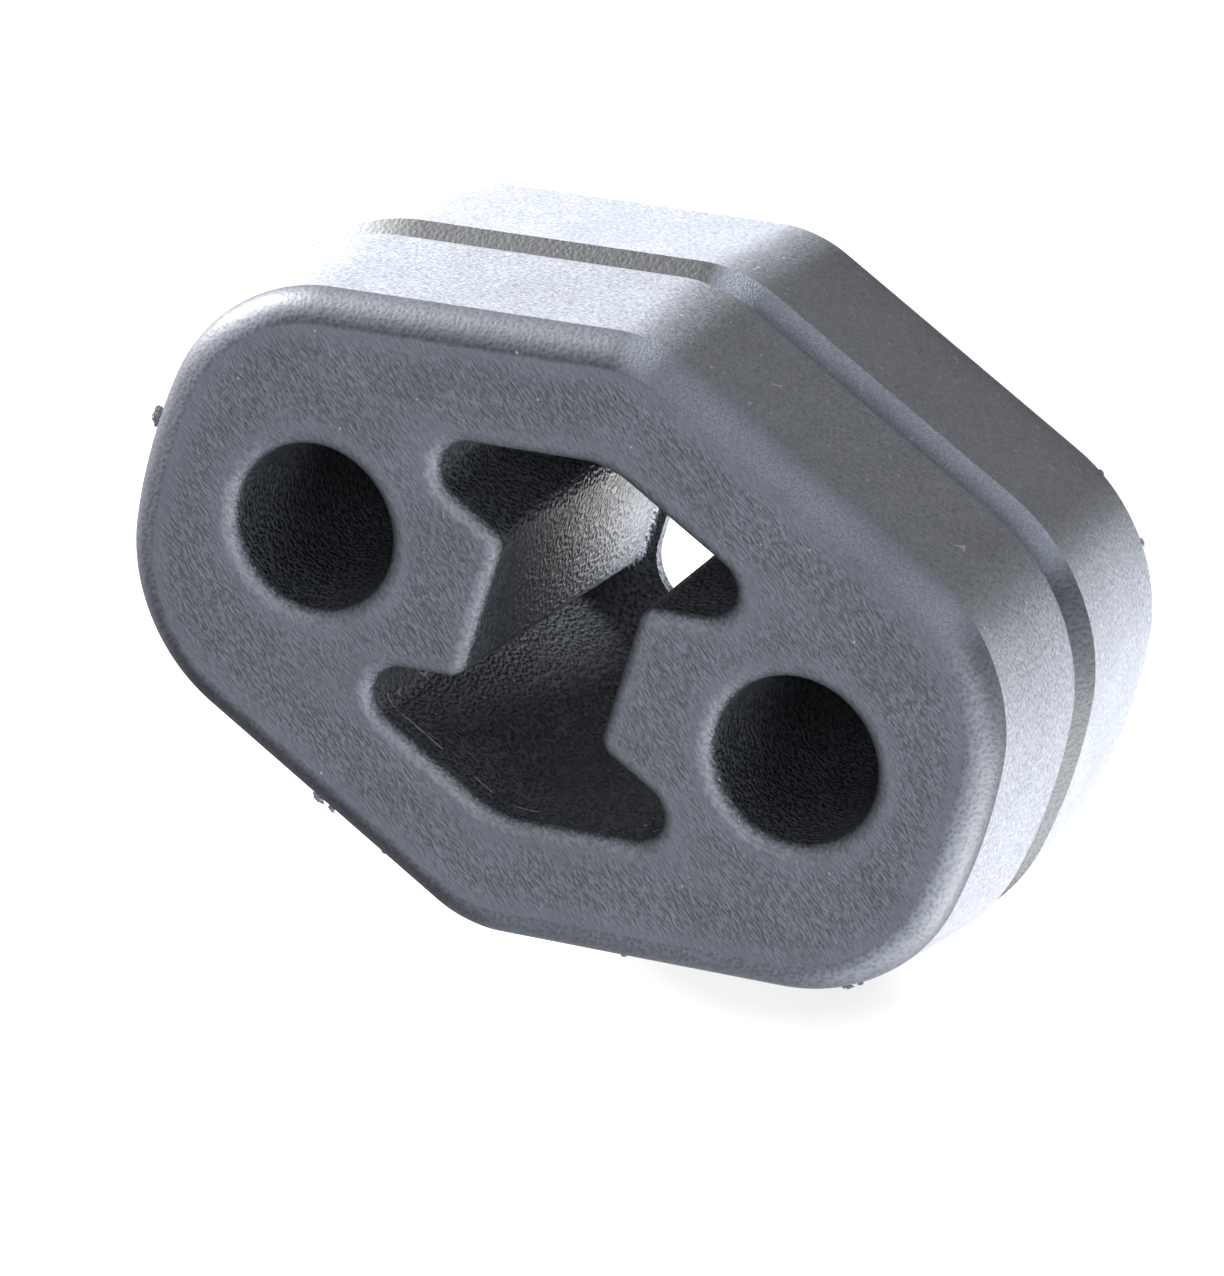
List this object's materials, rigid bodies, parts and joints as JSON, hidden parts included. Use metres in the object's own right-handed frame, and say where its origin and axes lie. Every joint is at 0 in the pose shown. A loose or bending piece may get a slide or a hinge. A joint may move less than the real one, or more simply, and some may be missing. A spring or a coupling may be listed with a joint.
{
  "type": "exhaust hanger rubber",
  "caption": "Moulded rubber exhaust hanger: a thick rounded hexagonal block with a pin bore near each end and a central window with opposed stop blocks.",
  "frame": {"origin": "centre of the back face, on which the block lies", "axes": "+X from one bore to the other along the length, +Y across the width, +Z out of the grained front face, along the bores"},
  "size_m": [0.0624, 0.0446, 0.0273],
  "materials": {
    "moulded_rubber": "matte moulded, fine grain"
  },
  "bodies": {
    "root": {"hanger_body": "moulded_rubber"}
  },
  "joints": []
}
